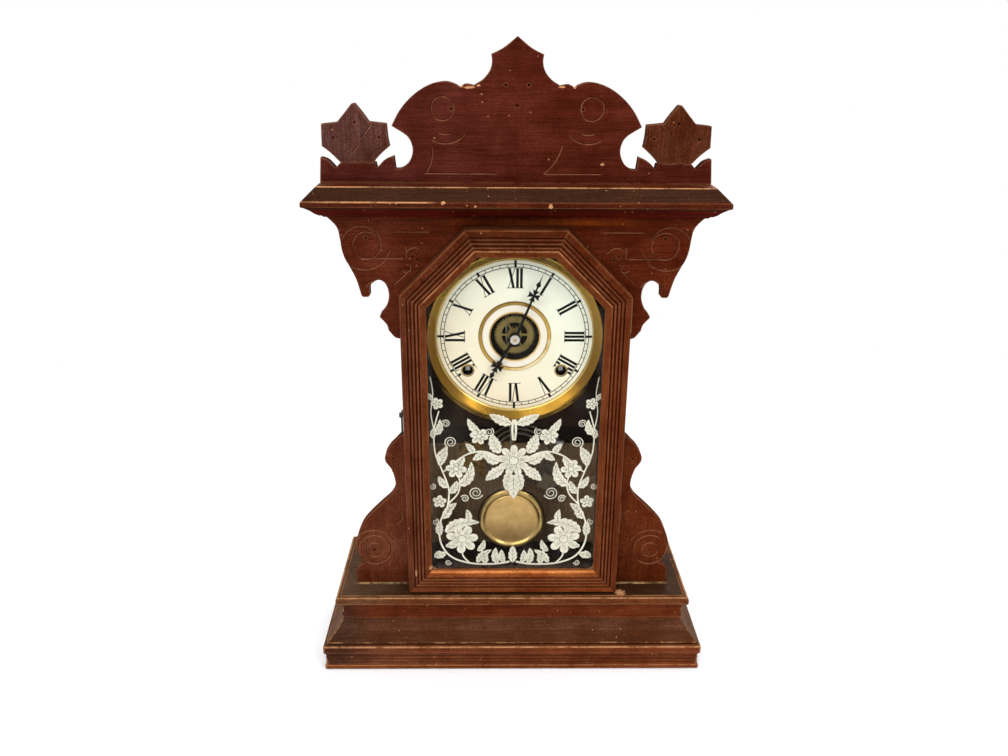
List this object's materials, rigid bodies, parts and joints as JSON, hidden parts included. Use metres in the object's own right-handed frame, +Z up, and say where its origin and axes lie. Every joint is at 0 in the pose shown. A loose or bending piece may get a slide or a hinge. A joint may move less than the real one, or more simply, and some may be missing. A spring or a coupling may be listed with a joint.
{
  "type": "shelf clock",
  "caption": "Walnut shelf clock with a moulded base, a glazed octagonal door, sawn wings and crest, a striking spring movement, a pendulum and a coil gong.",
  "frame": {"origin": "centre of the foot of the base, on the surface that the clock stands on", "axes": "+X to the right seen from the front, the dial and door face -Y, +Z up"},
  "size_m": [0.3526, 0.125, 0.5588],
  "materials": {
    "walnut_red": "reddish-brown stained walnut, old varnish, worn edges",
    "walnut_dark": "dark stained walnut, old varnish, scuffed",
    "walnut_dusty": "stained walnut dulled with dust",
    "softwood": "bare aged softwood",
    "glass": "clear, with a stencilled design on the back of its lower half",
    "old_brass": "tarnished, wiped brass",
    "dark_wire": "blackened iron",
    "painted_dial": "cream paper on zinc, satin",
    "black_paint": "blackened steel",
    "nickel": "bright turned metal",
    "plate_brass": "stamped brass, dull",
    "steel": "dull steel",
    "bob_brass": "spun brass, oxidised",
    "cast_iron": "black japanned iron"
  },
  "bodies": {
    "case": {"base_front": "walnut_red", "base_returns": "walnut_red", "base_top_board": "walnut_dark", "case_sides": "walnut_dark", "case_top": "walnut_dark", "case_back": "softwood", "wing_left": "walnut_dark", "wing_right": "walnut_dark", "cornice_front": "walnut_dark", "cornice_returns": "walnut_dark", "cornice_core": "walnut_dark", "finial_left": "walnut_dusty", "finial_right": "walnut_dusty", "plate_front": "plate_brass", "plate_back": "plate_brass", "plate_pillars": "steel", "glue_blocks": "softwood", "head_board": "walnut_dark", "crest_board": "walnut_dark", "dial_board": "walnut_dark", "hinge_case_leaves": "old_brass", "hinge_pins": "dark_wire", "hook_pin": "dark_wire", "dial_plate": "painted_dial", "bezel": "old_brass", "movement_feet": "steel", "mainsprings": "steel", "gong_coil": "steel", "gong_base": "cast_iron"},
    "door": {"door_stile_left": "walnut_red", "door_stile_right": "walnut_red", "door_bottom_rail": "walnut_red", "door_top_rail": "walnut_red", "door_corner_rails": "walnut_red", "door_glass": "glass", "glass_beads": "walnut_red", "hinge_door_leaves": "old_brass", "hook_screw": "dark_wire"},
    "hook": {"door_hook": "dark_wire"},
    "minute_work": {"centre_wheel": "plate_brass", "minute_hand": "black_paint", "hand_nut": "nickel"},
    "hour_work": {"hour_wheel": "plate_brass", "hour_hand": "black_paint"},
    "minute_wheel": {"minute_wheel": "plate_brass"},
    "time_second": {"time_second_wheel": "plate_brass"},
    "time_great": {"time_great_wheel": "plate_brass"},
    "time_winding": {"time_winding_arbor": "steel"},
    "third": {"third_wheel": "plate_brass"},
    "escape": {"escape_wheel": "plate_brass"},
    "verge": {"verge": "steel"},
    "pendulum": {"pendulum_rod": "steel", "pendulum_bob": "bob_brass"},
    "strike_cam": {"strike_cam_wheel": "plate_brass"},
    "strike_second": {"strike_second_wheel": "plate_brass"},
    "strike_great": {"strike_great_wheel": "plate_brass"},
    "strike_winding": {"strike_winding_arbor": "steel"},
    "warning": {"strike_warning_wheel": "plate_brass"},
    "fly": {"fly": "plate_brass"},
    "hammer": {"hammer": "steel"}
  },
  "joints": [
    {"name": "door_hinge", "type": "hinge", "parent": "case", "child": "door", "pos_m": [0.0975, -0.0265, 0.2405], "axis": [0, 0, 1], "range_deg": [0, 100]},
    {"name": "door_hook", "type": "hinge", "parent": "door", "child": "hook", "pos_m": [-0.0985, -0.0335, 0.248], "axis": [1, 0, 0], "range_deg": [-60, 90]},
    {"name": "minute_arbor", "type": "hinge", "parent": "case", "child": "minute_work", "pos_m": [0, 0, 0.3154], "axis": [0, 1, 0], "continuous": true},
    {"name": "hour_pipe", "type": "hinge", "parent": "case", "child": "hour_work", "pos_m": [0, 0, 0.3154], "axis": [0, 1, 0], "continuous": true},
    {"name": "minute_wheel_turn", "type": "hinge", "parent": "case", "child": "minute_wheel", "pos_m": [0.02125, 0, 0.3154], "axis": [0, 1, 0], "continuous": true},
    {"name": "time_second_turn", "type": "hinge", "parent": "case", "child": "time_second", "pos_m": [0.02074, 0, 0.30457], "axis": [0, 1, 0], "continuous": true},
    {"name": "time_great_turn", "type": "hinge", "parent": "case", "child": "time_great", "pos_m": [0.041, 0, 0.2841], "axis": [0, 1, 0], "continuous": true},
    {"name": "time_wind", "type": "hinge", "parent": "time_great", "child": "time_winding", "pos_m": [0.041, 0, 0.2841], "axis": [0, 1, 0], "range_deg": [-5040, 0]},
    {"name": "third_turn", "type": "hinge", "parent": "case", "child": "third", "pos_m": [0.00334, 0, 0.33621], "axis": [0, 1, 0], "continuous": true},
    {"name": "escape_turn", "type": "hinge", "parent": "case", "child": "escape", "pos_m": [0, 0, 0.3539], "axis": [0, 1, 0], "continuous": true},
    {"name": "pendulum_swing", "type": "hinge", "parent": "case", "child": "pendulum", "pos_m": [0, 0, 0.3739], "axis": [0, 1, 0], "range_deg": [-3, 3]},
    {"name": "verge_rock", "type": "hinge", "parent": "case", "child": "verge", "pos_m": [0, 0, 0.3739], "axis": [0, 1, 0], "range_deg": [-3, 3]},
    {"name": "strike_cam_turn", "type": "hinge", "parent": "case", "child": "strike_cam", "pos_m": [-0.02481, 0, 0.32762], "axis": [0, 1, 0], "continuous": true},
    {"name": "strike_second_turn", "type": "hinge", "parent": "case", "child": "strike_second", "pos_m": [-0.02074, 0, 0.30457], "axis": [0, 1, 0], "continuous": true},
    {"name": "strike_great_turn", "type": "hinge", "parent": "case", "child": "strike_great", "pos_m": [-0.041, 0, 0.2841], "axis": [0, 1, 0], "continuous": true},
    {"name": "strike_wind", "type": "hinge", "parent": "strike_great", "child": "strike_winding", "pos_m": [-0.041, 0, 0.2841], "axis": [0, 1, 0], "range_deg": [-5040, 0]},
    {"name": "warning_turn", "type": "hinge", "parent": "case", "child": "warning", "pos_m": [-0.01935, 0, 0.34798], "axis": [0, 1, 0], "continuous": true},
    {"name": "fly_turn", "type": "hinge", "parent": "case", "child": "fly", "pos_m": [-0.02735, 0, 0.36184], "axis": [0, 1, 0], "continuous": true},
    {"name": "hammer_lift", "type": "hinge", "parent": "case", "child": "hammer", "pos_m": [0.026, 0, 0.2574], "axis": [0, 1, 0], "range_deg": [-12, 0]}
  ],
  "couplings": [
    {"joint": "minute_wheel_turn", "follows": "minute_arbor", "ratio": -0.33333},
    {"joint": "hour_pipe", "follows": "minute_arbor", "ratio": 0.083333},
    {"joint": "time_second_turn", "follows": "minute_arbor", "ratio": -0.125},
    {"joint": "time_great_turn", "follows": "minute_arbor", "ratio": 0.013889},
    {"joint": "third_turn", "follows": "minute_arbor", "ratio": -7.5},
    {"joint": "escape_turn", "follows": "minute_arbor", "ratio": 60},
    {"joint": "verge_rock", "follows": "pendulum_swing", "ratio": 1},
    {"joint": "strike_second_turn", "follows": "strike_cam_turn", "ratio": -0.125},
    {"joint": "strike_great_turn", "follows": "strike_cam_turn", "ratio": 0.013889},
    {"joint": "warning_turn", "follows": "strike_cam_turn", "ratio": -7.5},
    {"joint": "fly_turn", "follows": "strike_cam_turn", "ratio": 52.5}
  ]
}
